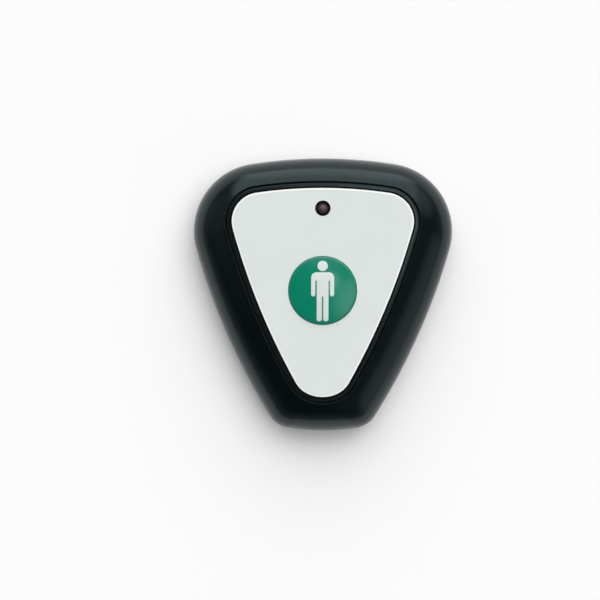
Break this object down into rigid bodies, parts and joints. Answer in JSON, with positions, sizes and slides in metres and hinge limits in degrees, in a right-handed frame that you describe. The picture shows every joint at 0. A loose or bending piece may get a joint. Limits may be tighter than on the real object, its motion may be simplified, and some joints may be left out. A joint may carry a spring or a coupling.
{
  "type": "wireless call button",
  "caption": "Hand-held wireless call button: black rounded-triangle housing, white face panel, round green push button and an indicator lamp above it.",
  "frame": {"origin": "where the push button's axis meets the flat back", "axes": "+Z out of the face along the button's axis, +Y from the button towards the indicator lamp, +X to the right seen from the front"},
  "size_m": [0.0682, 0.0719, 0.0179],
  "materials": {
    "black_housing": "satin, finely grained",
    "white_panel": "glossy",
    "green_button": "satin",
    "tinted_lens": "clear, tinted",
    "soft_seal": "matt",
    "adhesive": "matt",
    "plated_steel": "plated",
    "sheet_metal": "bright",
    "copper": "bright",
    "board": "satin, green",
    "black_package": "matt",
    "tan_ceramic": "matt",
    "dark_moulding": "matt",
    "white_moulding": "matt",
    "battery_can": "glossy"
  },
  "bodies": {
    "housing": {"front_shell": "black_housing", "rear_cover": "black_housing", "cover_seal": "soft_seal", "cover_screws": "plated_steel", "face_panel": "white_panel", "panel_tape": "adhesive", "button_seal": "soft_seal", "circuit_board": "board", "board_screws": "plated_steel", "switch_base": "dark_moulding", "switch_cover": "sheet_metal", "switch_dome": "sheet_metal", "switch_pins": "plated_steel", "indicator_led": "tinted_lens", "led_spacer": "white_moulding", "led_leads": "plated_steel", "battery": "battery_can", "positive_contact": "plated_steel", "negative_contact": "plated_steel", "encoder_chip": "black_package", "encoder_legs": "plated_steel", "saw_resonator": "sheet_metal", "radio_transistor": "black_package", "chip_resistors": "black_package", "chip_capacitors": "tan_ceramic", "antenna_trace": "copper"},
    "button": {"call_button": "green_button"},
    "plunger": {"switch_plunger": "dark_moulding"}
  },
  "joints": [
    {"name": "button_press", "type": "slide", "parent": "housing", "child": "button", "axis": [0, 0, -1], "range_m": [0, 0.0003], "stiffness_N_per_m": 2000, "springref_m": -0.0008},
    {"name": "plunger_press", "type": "slide", "parent": "housing", "child": "plunger", "axis": [0, 0, -1], "range_m": [0, 0.0003], "deforming": ["switch_dome"]}
  ],
  "couplings": [
    {"joint": "plunger_press", "follows": "button_press", "ratio": 1}
  ]
}
